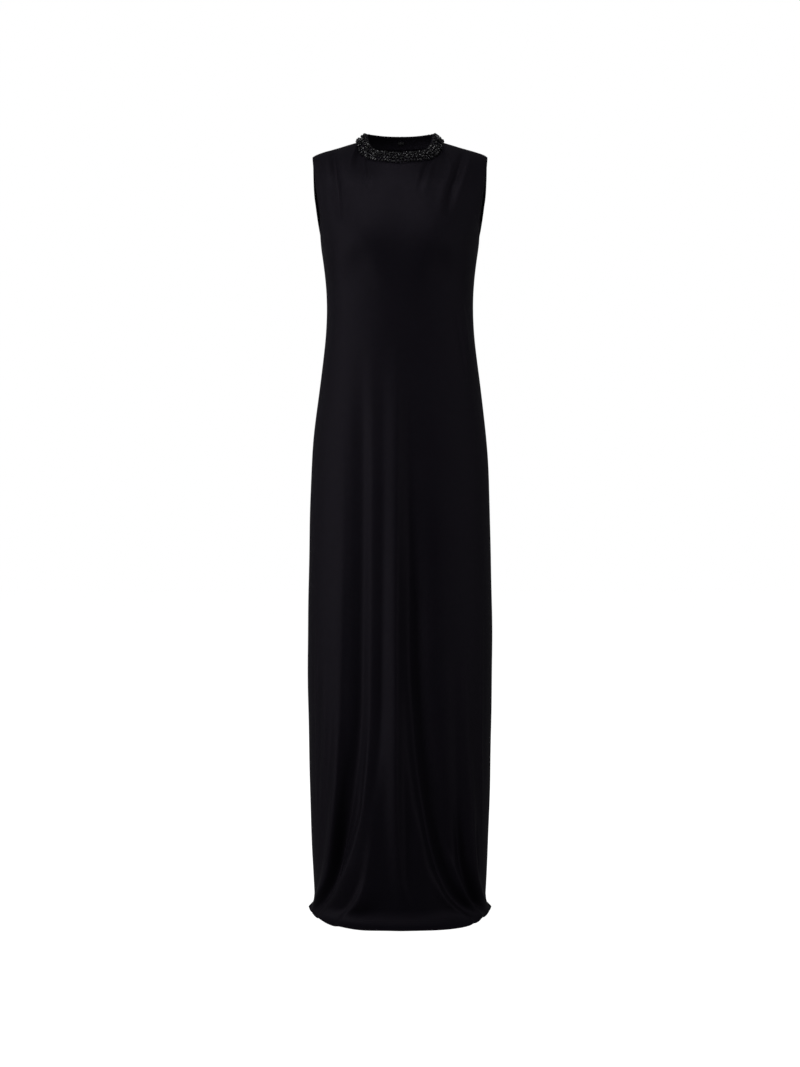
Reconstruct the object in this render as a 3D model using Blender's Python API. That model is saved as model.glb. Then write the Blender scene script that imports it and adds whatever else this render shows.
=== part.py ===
"""Sleeveless maxi dress of black jersey with a beaded neck band, filled out as it is worn, and empty.

Metres, +Z up. The front faces -Y and the wearer's left is +X. The origin lies between the shoulders,
where the wearer holds the dress up. Heights in the tables are above the floor, which the hem lies on.
"""

from collections import namedtuple
from math import cos, pi, radians, sin

import bpy
import numpy as np

# Driving sizes
SHOULDER_LEVEL = 1.540  # floor to the origin
WALL = 0.0015  # jersey, drawn as a stiff wall
SEAM_GAP = 0.0003
UNDERARM = 1.332  # lowest point of the armholes
CHEST_LEVEL = 1.440  # where the armholes are widest, seen from the side
ARMHOLE_FRONT = 0.046  # how far the armhole's edge runs forward of the side seam
ARMHOLE_BACK = 0.044
ARMHOLE_INSET = 0.0085  # the front edge stands inside the back edge by this much
SQUEEZE = 2.2  # columns of the grid give way to the armhole mostly near its edge
INSET_PACE = 1.4  # the inset is whole before the chest level is reached
EDGE_LEAN = 1.4  # above the chest the armhole's edges lean out this many times as much as below it

# The skirt's break where it meets the floor
BREAK_HEIGHT = 0.034
BREAK_SHARPNESS = 2.1
HEM_BACK_SHARE = 0.87  # the hem reaches less far behind than in front

# Neck seam, and the rim of the neck band above it, seen from above
NECK_HALF_WIDTH = 0.0870
NECK_FRONT = 0.0800
NECK_BACK = 0.0600
RIM_HALF_WIDTH = 0.0668
RIM_FRONT = 0.0645
RIM_BACK = 0.0500
BAND_WALL = 0.0020
BAND_BOW = 0.0020  # how far the band swells out between its two edges
BEAD_RISE = 0.0028
BEAD_ROWS = 4
BAND_INNER_STEP = 2  # the plain inside has a column for every so many outside
CLOSURE_GAP = 0.0010  # between the band's two ends at the centre back

SLIT_LENGTH = 0.150  # opening below the band, at the centre back
SLIT_GAP = 0.0010

FRONT_COLUMNS = 44
BACK_COLUMNS = 32
FRONT_NECK_COLUMNS = 12  # columns from the centre front to the side of the neck
BACK_NECK_COLUMNS = 8
FRONT_BEAD_COLUMNS = 3  # columns of the band to each column of the panel: a bead stands on every other one
BACK_BEAD_COLUMNS = 4

CALM_FROM = 0.90  # folds die away over the last tenth before a side seam or armhole

# Spread to each side as seen from the front, then rows of height, x and depth. A ridge is positive.
Fold = namedtuple("Fold", "left right path")


def table(names, *rows):
    """Columns of a table by name."""
    return dict(zip(names.split(), np.array(rows, float).T))


# Sections of the body below the chest: half width, reach forward and back of the side seam
BODY = table(
    "height half_width front back squareness",
    (0.034, 0.1738, 0.1440, 0.1250, 2.30),
    (0.165, 0.1800, 0.1390, 0.1230, 2.25),
    (0.350, 0.1853, 0.1330, 0.1230, 2.20),
    (0.530, 0.1874, 0.1280, 0.1230, 2.18),
    (0.745, 0.1843, 0.1225, 0.1220, 2.15),
    (0.868, 0.1810, 0.1200, 0.1205, 2.12),
    (0.959, 0.1752, 0.1170, 0.1160, 2.10),
    (1.051, 0.1640, 0.1125, 0.1050, 2.20),
    (1.143, 0.1527, 0.1095, 0.0970, 2.30),
    (1.204, 0.1487, 0.1105, 0.0970, 2.34),
    (1.265, 0.1487, 0.1138, 0.1000, 2.36),
    (1.332, 0.1560, 0.1180, 0.1050, 2.34),
    (1.390, 0.1676, 0.1130, 0.1060, 2.28),
    (1.440, 0.1750, 0.1020, 0.1020, 2.24),
)

# Edge of the hem on the floor, from the centre front round to the side seam
HEM = table(
    "x reach",
    (0.0000, 0.1750),
    (0.0600, 0.1714),
    (0.1138, 0.1536),
    (0.1394, 0.1314),
    (0.1520, 0.1118),
    (0.1652, 0.0820),
    (0.1782, 0.0428),
    (0.1860, 0.0000),
)

# Seam from the side of the neck out to the shoulder's tip
SHOULDER = table(
    "half_width height",
    (0.0870, 1.5568),
    (0.1065, 1.5508),
    (0.1193, 1.5462),
    (0.1489, 1.5367),
    (0.1705, 1.5292),
    (0.1775, 1.5248),
)

# Neck seam and band rim, by angle from the centre front
NECK = table(
    "angle seam rim",
    (0, 1.4930, 1.5165),
    (40, 1.5040, 1.5245),
    (65, 1.5240, 1.5435),
    (90, 1.5568, 1.5725),
    (135, 1.5585, 1.5800),
    (180, 1.5585, 1.5815),
)

# Direction in which a panel's columns reach the neckline, at its centre and beside the shoulder seam
ARRIVAL = {
    -1: {"centre": (0, 0.42, 0.90), "side": (0, 0.88, 0.47)},
    1: {"centre": (0, -0.35, 0.94), "side": (0, -0.97, -0.22)},
}

INWARD_ARRIVAL = 0.35  # between the two they also turn towards the centre

# Bust fullness on each half of the front: a soft swelling, with its reach sideways, upwards and downwards.
# Within its fullness it falls off steeply below; between the two sides the cloth spans and falls more slowly.
BUST = {
    "x": 0.082,
    "height": 1.333,
    "reach": 0.062,
    "above": 0.080,
    "below": 0.034,
    "middle_below": 0.080,
    "fullness": 0.040,
    "rise": 0.0125,
}

FRONT_FOLDS = (
    # Ridges of the skirt, from the wearer's right to the left
    Fold(0.012, 0.011, (
        (1.10, -0.114, 0), (0.80, -0.114, 0.0012), (0.43, -0.119, 0.0034), (0.31, -0.121, 0.0076),
        (0.16, -0.131, 0.0102), (0.09, -0.141, 0.0098), (0.04, -0.157, 0.0076), (0.00, -0.176, 0.0030),
    )),
    Fold(0.010, 0.036, (
        (1.15, -0.056, 0), (0.98, -0.054, 0.0008), (0.43, -0.057, 0.0026), (0.24, -0.068, 0.0090),
        (0.16, -0.085, 0.0092), (0.11, -0.102, 0.0100), (0.06, -0.125, 0.0080), (0.00, -0.161, 0.0034),
    )),
    Fold(0.011, 0.024, (
        (0.22, -0.047, 0), (0.155, -0.054, 0.0020), (0.10, -0.062, 0.0040), (0.05, -0.078, 0.0070),
        (0.00, -0.118, 0.0034),
    )),
    Fold(0.013, 0.010, (
        (1.14, -0.012, 0), (0.98, -0.007, 0.0046), (0.43, -0.008, 0.0100), (0.24, -0.007, 0.0108),
        (0.10, 0.000, 0.0070), (0.03, 0.014, 0),
    )),
    Fold(0.013, 0.012, (
        (0.22, 0.068, 0), (0.16, 0.084, 0.0024), (0.10, 0.108, 0.0044), (0.05, 0.130, 0.0056),
        (0.00, 0.164, 0.0034),
    )),
    Fold(0.012, 0.012, (
        (0.60, 0.128, 0), (0.42, 0.132, 0.0020), (0.31, 0.135, 0.0036), (0.20, 0.141, 0.0046),
        (0.11, 0.146, 0.0050), (0.05, 0.157, 0.0048), (0.00, 0.180, 0.0026),
    )),
    # Troughs of the skirt
    Fold(0.015, 0.012, (
        (1.15, -0.077, 0), (0.86, -0.075, -0.0064), (0.43, -0.079, -0.0100), (0.24, -0.096, -0.0110),
        (0.12, -0.120, -0.0120), (0.06, -0.134, -0.0076), (0.00, -0.168, 0),
    )),
    Fold(0.011, 0.010, (
        (1.15, -0.034, 0), (0.92, -0.034, -0.0010), (0.43, -0.037, -0.0034), (0.28, -0.048, -0.0022),
        (0.20, -0.060, 0),
    )),
    Fold(0.014, 0.026, (
        (1.15, 0.022, 0), (0.88, 0.022, -0.0060), (0.55, 0.021, -0.0150), (0.36, 0.031, -0.0165),
        (0.24, 0.047, -0.0165), (0.12, 0.073, -0.0140), (0.05, 0.104, -0.0095), (0.00, 0.154, 0),
    )),
    Fold(0.013, 0.012, (
        (0.56, 0.106, 0), (0.40, 0.108, -0.0020), (0.24, 0.113, -0.0036), (0.12, 0.125, -0.0075),
        (0.04, 0.149, -0.0065), (0.00, 0.173, 0),
    )),
    # Pleats let into the shoulder seams, and the pull of the band
    Fold(0.007, 0.007, (
        (1.537, -0.134, 0), (1.505, -0.132, -0.0034), (1.440, -0.126, -0.0028), (1.390, -0.121, 0),
    )),
    Fold(0.008, 0.008, (
        (1.537, -0.148, 0), (1.505, -0.146, 0.0026), (1.440, -0.141, 0.0022), (1.390, -0.135, 0),
    )),
    Fold(0.007, 0.007, (
        (1.535, 0.132, 0), (1.500, 0.121, -0.0044), (1.440, 0.102, -0.0036), (1.380, 0.087, 0),
    )),
    Fold(0.008, 0.008, (
        (1.537, 0.147, 0), (1.500, 0.135, 0.0028), (1.440, 0.116, 0.0026), (1.380, 0.100, 0),
    )),
    Fold(0.006, 0.006, (
        (1.520, -0.069, 0), (1.490, -0.067, 0.0026), (1.450, -0.064, 0.0014), (1.410, -0.062, 0),
    )),
    Fold(0.007, 0.007, (
        (1.515, 0.070, 0), (1.485, 0.056, -0.0028), (1.450, 0.044, -0.0018), (1.410, 0.034, 0),
    )),
)

# The back is out of sight, and hangs in like folds of its own
BACK_FOLDS = (
    Fold(0.013, 0.013, (
        (1.05, -0.052, 0), (0.85, -0.053, 0.0030), (0.43, -0.058, 0.0042), (0.20, -0.072, 0.0050),
        (0.06, -0.096, 0.0040), (0.00, -0.112, 0),
    )),
    Fold(0.014, 0.014, (
        (1.00, 0.004, 0), (0.80, 0.006, 0.0030), (0.43, 0.009, 0.0045), (0.20, 0.013, 0.0045),
        (0.06, 0.018, 0.0030), (0.00, 0.022, 0),
    )),
    Fold(0.013, 0.013, (
        (0.85, 0.080, 0), (0.65, 0.082, 0.0028), (0.43, 0.086, 0.0040), (0.20, 0.103, 0.0050),
        (0.06, 0.124, 0.0040), (0.00, 0.138, 0),
    )),
    Fold(0.016, 0.016, (
        (1.10, -0.026, 0), (0.85, -0.026, -0.0036), (0.43, -0.027, -0.0048), (0.20, -0.034, -0.0055),
        (0.06, -0.046, -0.0050), (0.00, -0.054, 0),
    )),
    Fold(0.016, 0.016, (
        (0.95, 0.046, 0), (0.75, 0.046, -0.0034), (0.43, 0.050, -0.0046), (0.20, 0.060, -0.0060),
        (0.06, 0.078, -0.0060), (0.00, 0.090, 0),
    )),
    Fold(0.011, 0.011, (
        (0.70, -0.112, 0), (0.43, -0.114, -0.0034), (0.20, -0.124, -0.0050), (0.06, -0.140, -0.0050),
        (0.00, -0.150, 0),
    )),
    Fold(0.008, 0.008, (
        (1.537, -0.134, 0), (1.500, -0.130, -0.0030), (1.440, -0.124, -0.0022), (1.390, -0.118, 0),
    )),
    Fold(0.008, 0.008, (
        (1.537, 0.132, 0), (1.500, 0.127, -0.0030), (1.440, 0.120, -0.0022), (1.390, 0.112, 0),
    )),
)

# Levels of the grid's rows between the floor and the underarm, and how finely the other stretches are cut
BODY_LEVELS = (0.034, 0.046, 0.059, 0.074, 0.091, 0.111, 0.134, 0.161, 0.193, 0.231, 0.276, 0.330, 0.395,
               0.470, 0.555, 0.650, 0.750, 0.855, 0.950, 1.040, 1.115, 1.180, 1.235, 1.280, 1.312)
BREAK_ROWS = 4
ARMHOLE_ROWS = 6
YOKE_ROWS = 7
FINE = 120  # points that a curve is read at before it is cut into columns

BLACK_JERSEY = {"name": "black_jersey", "colour": (0.0085, 0.0075, 0.0105), "roughness": 0.62, "metallic": 0}
BLACK_BEADS = {"name": "black_beads", "colour": (0.010, 0.010, 0.012), "roughness": 0.22, "metallic": 0}
DARK_WIRE = {"name": "dark_wire", "colour": (0.045, 0.045, 0.050), "roughness": 0.35, "metallic": 1}


def smooth(xs, ys, x):
    """Value at x of a soft curve through the points that never overshoots them."""
    steps = np.diff(xs)
    slopes = np.diff(ys) / steps
    product = slopes[1:] * slopes[:-1]
    total = slopes[1:] + slopes[:-1]
    inner = np.where(product > 0, 2 * product / np.where(total == 0, 1, total), 0)
    tangents = np.concatenate([slopes[:1], inner, slopes[-1:]])
    x = np.clip(x, xs[0], xs[-1])
    i = np.clip(np.searchsorted(xs, x) - 1, 0, len(steps) - 1)
    t = (x - xs[i]) / steps[i]
    return (
        ys[i] * (1 + 2 * t) * (1 - t) ** 2
        + ys[i + 1] * (3 - 2 * t) * t**2
        + steps[i] * t * (1 - t) * (tangents[i] * (1 - t) - tangents[i + 1] * t)
    )


def flowing(xs, ys, x):
    """Value at x of a natural cubic spline, which bends evenly through its points."""
    steps = np.diff(xs)
    slopes = np.diff(ys) / steps
    system = np.eye(len(xs))
    bends = np.zeros(len(xs))
    for k in range(1, len(xs) - 1):
        system[k, k - 1 : k + 2] = steps[k - 1], 2 * (steps[k - 1] + steps[k]), steps[k]
        bends[k] = 6 * (slopes[k] - slopes[k - 1])
    bends = np.linalg.solve(system, bends)
    i = int(np.clip(np.searchsorted(xs, x) - 1, 0, len(steps) - 1))
    t = (x - xs[i]) / steps[i]
    sag = (1 - t) * (((1 - t) ** 2 - 1) * bends[i]) + t * ((t**2 - 1) * bends[i + 1])
    return ys[i] + t * (ys[i + 1] - ys[i]) + steps[i] ** 2 / 6 * sag


def body(column, height):
    return flowing(BODY["height"], BODY[column], height)


def unit(vectors):
    return vectors / np.linalg.norm(vectors, axis=-1, keepdims=True)


def ease(t):
    t = np.clip(t, 0, 1)
    return t * t * (3 - 2 * t)


def run_along(points):
    """Length from the start of a polyline to each of its points."""
    return np.concatenate([[0], np.cumsum(np.linalg.norm(np.diff(points, axis=0), axis=1))])


def by_length(points, shares):
    """Points at shares of the length along a polyline."""
    run = run_along(points)
    return np.stack([np.interp(shares * run[-1], run, points[:, k]) for k in range(points.shape[1])], axis=1)


def level_line(side, columns, half_width, reach, edge, square):
    """A panel's line at one level, from the wearer's right to the left: x and y.

    side is -1 in front and 1 behind. The line is part of a rounded oval that is cut off where it comes
    within edge of the side seam's plane.
    """
    whole_width = half_width / (1 - (edge / reach) ** square) ** (1 / square)
    quarters = []
    for last in (pi / 2, np.arccos((edge / reach) ** (square / 2))):
        turn = np.linspace(0, last, FINE)
        quarters.append(np.stack([
            whole_width * np.sin(turn) ** (2 / square),
            reach * np.cos(turn) ** (2 / square),
        ], axis=1))
    kept = run_along(quarters[1])[-1] / run_along(quarters[0])[-1]
    shares = np.linspace(0, 1, columns // 2 + 1)
    half = by_length(quarters[1], (shares - (1 - kept) * shares**SQUEEZE) / kept)
    whole = np.concatenate([half[:0:-1] * (-1, 1), half])
    return whole * (1, side)


def body_row(side, columns, height):
    """Line at a height up to the chest. Above the underarm it stops at the armhole's edges."""
    reach = body("front" if side < 0 else "back", height)
    half_width = body("half_width", height)
    edge = SEAM_GAP / 2
    if height > UNDERARM:
        rise = (height - UNDERARM) / (CHEST_LEVEL - UNDERARM)
        edge += (ARMHOLE_FRONT if side < 0 else ARMHOLE_BACK) * np.sqrt(1 - (1 - rise) ** 2)
        half_width -= ARMHOLE_INSET * ease(rise * INSET_PACE) * (side < 0)
    line = level_line(side, columns, half_width, reach, edge, body("squareness", height))
    return np.column_stack([line, np.full(len(line), height)])


def break_row(side, columns, turn):
    """Line of the skirt's break: upright at turn 0, lying on the floor at a quarter turn."""
    out = 1 - cos(turn) ** (2 / BREAK_SHARPNESS)
    up = 1 - sin(turn) ** (2 / BREAK_SHARPNESS)
    above = body_row(side, columns, BREAK_HEIGHT)[:, :2]
    along = np.linspace(0, 1, FINE)
    nodes = np.linspace(0, 1, len(HEM["x"]))
    half = np.stack([smooth(nodes, HEM["x"], along), smooth(nodes, HEM["reach"], along)], axis=1)
    half = by_length(half, np.linspace(0, 1, columns // 2 + 1))
    half[-1, 1] = SEAM_GAP / 2
    hem = np.concatenate([half[:0:-1] * (-1, 1), half]) * (1, side)
    if side > 0:
        hem[1:-1, 1] *= HEM_BACK_SHARE
    line = above + out * (hem - above)
    return np.column_stack([line, np.full(len(line), WALL + up * (BREAK_HEIGHT - WALL))])


def neck_curve(angle, edge):
    """Point of the neck seam or of the band's rim, by its angle from the centre front."""
    half_width, front, back = {
        "seam": (NECK_HALF_WIDTH, NECK_FRONT, NECK_BACK),
        "rim": (RIM_HALF_WIDTH, RIM_FRONT, RIM_BACK),
    }[edge]
    depth = front if abs(angle) <= pi / 2 else back
    height = smooth(NECK["angle"], NECK[edge], abs(angle) * 180 / pi)
    return np.array([half_width * sin(angle), -depth * cos(angle), height])


def neck_nodes():
    """Angles, seam points, and directions up and out of the band, where the panels' columns meet it."""
    angles = np.concatenate([
        np.linspace(0, pi / 2, FRONT_NECK_COLUMNS + 1),
        np.linspace(pi / 2, pi, BACK_NECK_COLUMNS + 1)[1:],
    ])
    angles = np.concatenate([-angles[:0:-1], angles])
    seam = np.array([neck_curve(a, "seam") for a in angles])
    up = unit(np.array([neck_curve(a, "rim") for a in angles]) - seam)
    step = 0.01
    along = np.array([neck_curve(a + step, "seam") - neck_curve(a - step, "seam") for a in angles])
    return angles, seam, up, unit(np.cross(along, up))


def neck_line(angle):
    """Seam point, and directions up and out of the band. The seam runs straight between the nodes."""
    angles, seam, up, out = NODES
    at_angle = [np.array([np.interp(angle, angles, v[:, k]) for k in range(3)]) for v in (seam, up, out)]
    return at_angle[0], unit(at_angle[1]), unit(at_angle[2])


def top_row(side, columns, neck_columns):
    """The panel's upper edge, along shoulder seam, neckline and shoulder seam.

    It gives points, the directions in which the columns reach them, and those in which the wall faces.
    """
    points, slopes, outs = [], [], []
    half = columns // 2
    centre, beside = np.array(ARRIVAL[side]["centre"]), np.array(ARRIVAL[side]["side"])
    seam_line = SHOULDER["half_width"], SHOULDER["height"]
    for j in range(-half, half + 1):
        hand = 1 if j >= 0 else -1
        if abs(j) <= neck_columns:
            share = abs(j) / neck_columns
            angle = share * pi / 2 if side < 0 else pi - share * pi / 2
            point, up, out = neck_line(angle)
            if abs(j) == neck_columns:
                out = unit(np.array([out[0], 0, out[2]]))
                point[1] = side * SEAM_GAP / 2
            point -= up * SEAM_GAP * (1 if neck_columns - abs(j) < 2 else 0.5)
            slope = (1 - share**2) * centre + share**2 * beside
            slope[0] -= INWARD_ARRIVAL * sin(pi * share)
        else:
            share = (abs(j) - neck_columns) / (half - neck_columns)
            x = NECK_HALF_WIDTH + share * (SHOULDER["half_width"][-1] - NECK_HALF_WIDTH)
            point = np.array([x, side * SEAM_GAP / 2, smooth(*seam_line, x)])
            slope = beside * (1, 1, (1 - share) ** 2)
            step = 0.002
            rise = smooth(*seam_line, x) - smooth(*seam_line, x - step)
            out = unit(np.array([-rise / step, 0, 1]))
        mirror = np.array([hand, 1, 1])
        points.append(point * mirror)
        slopes.append(unit(slope) * mirror)
        outs.append(out * mirror)
    return np.array(points), np.array(slopes), np.array(outs)


def yoke_rows(side, columns, neck_columns):
    """Rows that carry the panel from the chest up to the shoulder seams and the neckline."""
    start = body_row(side, columns, CHEST_LEVEL)
    step = 0.012
    lean = (start - body_row(side, columns, CHEST_LEVEL - step)) / step
    end, slopes, outs = top_row(side, columns, neck_columns)
    span = np.linalg.norm(end - start, axis=1)[:, None]
    level = np.linspace(-1, 1, columns + 1)[:, None]
    lean[:, :2] *= 1 + (EDGE_LEAN - 1) * np.abs(level) ** 6
    rows = []
    for k in range(1, YOKE_ROWS + 1):
        t = k / YOKE_ROWS
        rows.append(
            start * (1 + 2 * t) * (1 - t) ** 2
            + end * (3 - 2 * t) * t**2
            + span * t * (1 - t) * (lean * (1 - t) - slopes * t)
        )
    return rows, outs


def fold_depth(row, folds):
    """How far each point of a row is pushed out by the folds, in metres."""
    x = row[:, 0]
    height = row[:, 2]
    run = run_along(row)
    depth = np.zeros(len(row))
    ahead = x[0] < x[-1]
    for fold in folds:
        path = np.array(fold.path)[::-1]
        inside = (height > path[0, 0]) & (height < path[-1, 0])
        centre = smooth(path[:, 0], path[:, 1], height)
        amount = smooth(path[:, 0], path[:, 2], height)
        middle = np.interp(centre, x, run) if ahead else np.interp(centre, x[::-1], run[::-1])
        away = run - middle
        spread = np.where((away < 0) == ahead, fold.left, fold.right)
        depth += inside * amount * np.exp(-((away / spread) ** 2) / 2)
    share = np.abs(np.linspace(-1, 1, len(row)))
    return depth * (1 - ease((share - CALM_FROM) / (1 - CALM_FROM)))


def bust_depth(points):
    """The general figure's chest fills the front out a little on each side."""
    above = points[..., 2] - BUST["height"]
    rise = np.zeros(points.shape[:-1])
    for hand in (-1, 1):
        sideways = points[..., 0] - hand * BUST["x"]
        full = np.exp(-((sideways / BUST["fullness"]) ** 2))
        below = BUST["middle_below"] + (BUST["below"] - BUST["middle_below"]) * full
        upright = above / np.where(above > 0, BUST["above"], below)
        rise += BUST["rise"] * np.exp(-((sideways / BUST["reach"]) ** 2) - upright**2)
    return rise


def panel_grid(side, columns, neck_columns, folds):
    """Outer points of a panel, from hem to top edge, and the direction that its wall faces at each."""
    rows = [
        break_row(side, columns, pi / 2 * (1 - k / BREAK_ROWS)) for k in range(BREAK_ROWS)
    ]
    rows += [body_row(side, columns, height) for height in BODY_LEVELS]
    for k in range(ARMHOLE_ROWS + 1):
        height = CHEST_LEVEL - (CHEST_LEVEL - UNDERARM) * cos(pi / 2 * k / ARMHOLE_ROWS)
        rows.append(body_row(side, columns, height))
    yoke, top_out = yoke_rows(side, columns, neck_columns)
    rows += yoke
    grid = np.array(rows)
    if side > 0:
        grid = grid[:, ::-1]
        top_out = top_out[::-1]
    out = wall_directions(grid, top_out)
    pushed = np.array([fold_depth(row, folds) for row in grid])
    if side < 0:
        pushed += bust_depth(grid)
    pushed[-1] = 0
    pushed[:, [0, -1]] = 0
    grid = grid + out * pushed[..., None]
    return grid, wall_directions(grid, top_out)


def wall_directions(grid, top_out):
    """Unit vectors out of the cloth. On seams they lie in the plane that both panels share."""
    out = unit(np.cross(np.gradient(grid, axis=1), np.gradient(grid, axis=0)))
    seam = slice(0, len(grid) - YOKE_ROWS - ARMHOLE_ROWS)
    for edge in (0, -1):
        out[seam, edge, 1] = 0
    out[-1] = top_out
    out[0] = (0, 0, 1)
    return unit(out)


def walled_mesh(name, outer, inner, faces):
    """A closed wall from matching outer and inner points, with its rim filled in between them."""
    count = len(outer)
    edges = {edge for face in faces for edge in zip(face, face[1:] + face[:1])}
    rim = sorted((a, b) for a, b in edges if (b, a) not in edges)
    quads = list(faces)
    quads += [tuple(count + v for v in reversed(face)) for face in faces]
    quads += [(b, a, count + a, count + b) for a, b in rim]
    mesh = bpy.data.meshes.new(name)
    mesh.from_pydata(np.concatenate([outer, inner]).tolist(), [], quads)
    mesh.validate()
    return mesh


def grid_faces(rows, columns):
    """Quads of a grid, and the index of the point at each row and column."""
    index = np.arange(rows * columns).reshape(rows, columns)
    faces = [
        (int(index[r, c]), int(index[r, c + 1]), int(index[r + 1, c + 1]), int(index[r + 1, c]))
        for r in range(rows - 1)
        for c in range(columns - 1)
    ]
    return faces, index


def opened_slit(outer, inner, faces, index, slit_rows):
    """Parts the grid down its middle column, through the topmost rows."""
    rows, columns = index.shape
    middle = columns // 2
    outer, inner = list(outer), list(inner)
    twins = {}
    for r in range(rows - slit_rows, rows):
        v = int(index[r, middle])
        twins[v] = len(outer)
        wide = SLIT_GAP / 2 * min(1, (r - (rows - slit_rows) + 1) / 2)
        for points in (outer, inner):
            points.append(points[v] - (wide, 0, 0))
            points[v] = points[v] + (wide, 0, 0)
    parted = []
    for face in faces:
        column = min(v % columns for v in face)
        parted.append(tuple(twins.get(v, v) for v in face) if column >= middle else face)
    return np.array(outer), np.array(inner), parted


def add_object(name, mesh, finish):
    """Links a mesh as one named piece, with its own material."""
    material = bpy.data.materials.new(finish["name"])
    material.use_nodes = True
    surface = material.node_tree.nodes["Principled BSDF"]
    surface.inputs["Base Color"].default_value = (*finish["colour"], 1)
    surface.inputs["Roughness"].default_value = finish["roughness"]
    surface.inputs["Metallic"].default_value = finish["metallic"]
    mesh.materials.append(material)
    piece = bpy.data.objects.new(name, mesh)
    bpy.context.scene.collection.objects.link(piece)
    return piece


def lowered(points):
    """Heights above the floor become heights from the origin."""
    return np.asarray(points) - (0, 0, SHOULDER_LEVEL)


def make_front_panel():
    """Front, cut in one from hem to neck, with pleats let into the shoulder seams."""
    outer, out = panel_grid(-1, FRONT_COLUMNS, FRONT_NECK_COLUMNS, FRONT_FOLDS)
    faces, _ = grid_faces(*outer.shape[:2])
    inner = (outer - out * WALL).reshape(-1, 3)
    mesh = walled_mesh("front_panel", lowered(outer.reshape(-1, 3)), lowered(inner), faces)
    return smooth_shaded(add_object("front_panel", mesh, BLACK_JERSEY))


def make_back_panel():
    """Back, cut in one, with a slit below the band that lets the head through."""
    outer, out = panel_grid(1, BACK_COLUMNS, BACK_NECK_COLUMNS, BACK_FOLDS)
    faces, index = grid_faces(*outer.shape[:2])
    inner = (outer - out * WALL).reshape(-1, 3)
    centre = outer[:, BACK_COLUMNS // 2, 2]
    slit_rows = int(np.sum(centre > centre[-1] - SLIT_LENGTH))
    outer, inner, faces = opened_slit(outer.reshape(-1, 3), inner, faces, index, slit_rows)
    mesh = walled_mesh("back_panel", lowered(outer), lowered(inner), faces)
    return smooth_shaded(add_object("back_panel", mesh, BLACK_JERSEY))


def band_point(angle, share):
    """Point on the outside of the plain neck band: share 0 is its seam and 1 its rim."""
    seam, up, out = neck_line(angle)
    start = seam + up * SEAM_GAP / 2
    bow = BAND_BOW * (1 - (2 * share - 1) ** 2)
    return start + share * (neck_curve(angle, "rim") - start) + out * bow, up, out


def make_neck_band():
    """Stand band sewn to the neckline. Its outside is raised in rows of large beads; its inside is plain."""
    rows = 2 * BEAD_ROWS
    front = np.linspace(-pi / 2, pi / 2, 2 * FRONT_NECK_COLUMNS * FRONT_BEAD_COLUMNS + 1)
    back = np.linspace(pi / 2, pi, BACK_NECK_COLUMNS * BACK_BEAD_COLUMNS + 1)[1:]
    angles = np.concatenate([-back[::-1], front, back])
    angles[0] += CLOSURE_GAP / 2 / NECK_HALF_WIDTH
    angles[-1] -= CLOSURE_GAP / 2 / NECK_HALF_WIDTH
    columns = len(angles) - 1
    inner_step = BAND_INNER_STEP
    outer, inner = [], []
    for r in range(rows + 1):
        for c, angle in enumerate(angles):
            point, _, out = band_point(angle, r / rows)
            stagger = (r // 2) % 2
            raised = r % 2 == 1 and (c + stagger) % 2 == 1 and 0 < c < columns
            outer.append(point + out * BEAD_RISE * raised)
    for share in (0, 0.5, 1):
        for angle in angles[::inner_step]:
            point, _, out = band_point(angle, share)
            inner.append(point - out * BAND_WALL)
    faces, index = grid_faces(rows + 1, columns + 1)
    inner_faces, inner_index = grid_faces(3, columns // inner_step + 1)
    inner_index = inner_index + len(outer)
    quads = list(faces)
    quads += [tuple(v + len(outer) for v in reversed(face)) for face in inner_faces]
    for edge, turn in ((0, 1), (-1, -1)):
        for k in range(columns // inner_step):
            run = [int(v) for v in index[edge, k * inner_step : (k + 1) * inner_step + 1]]
            back = [int(inner_index[edge, k + 1]), int(inner_index[edge, k])]
            ring = run + back
            quads.append(tuple(reversed(ring)) if turn > 0 else tuple(ring))
    for edge, turn in ((0, 1), (-1, -1)):
        ring = [int(v) for v in index[:, edge]] + [int(v) for v in inner_index[::-1, edge]]
        quads.append(tuple(ring) if turn > 0 else tuple(reversed(ring)))
    mesh = bpy.data.meshes.new("neck_band")
    mesh.from_pydata(lowered(outer + inner).tolist(), [], quads)
    mesh.validate()
    return add_object("neck_band", mesh, BLACK_BEADS)


def smooth_shaded(piece):
    piece.data.shade_smooth()
    piece.data.set_sharp_from_angle(angle=radians(50))
    return piece


def metal_strip(name, profile, half_width):
    """A strip of sheet metal inside the band at the centre back. Its profile is x and depth from the band."""
    count = len(profile)
    middle, up, out = band_point(pi, 0.5)
    wall = lowered(middle - out * BAND_WALL)
    points = [
        wall + (x, 0, 0) - out * depth + up * height
        for height in (-half_width, half_width)
        for x, depth in profile
    ]
    faces = [tuple(range(count)), tuple(reversed(range(count, 2 * count)))]
    faces += [(k, count + k, count + (k + 1) % count, (k + 1) % count) for k in range(count)]
    mesh = bpy.data.meshes.new(name)
    mesh.from_pydata([tuple(p) for p in points], [], faces)
    return add_object(name, mesh, DARK_WIRE)


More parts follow.
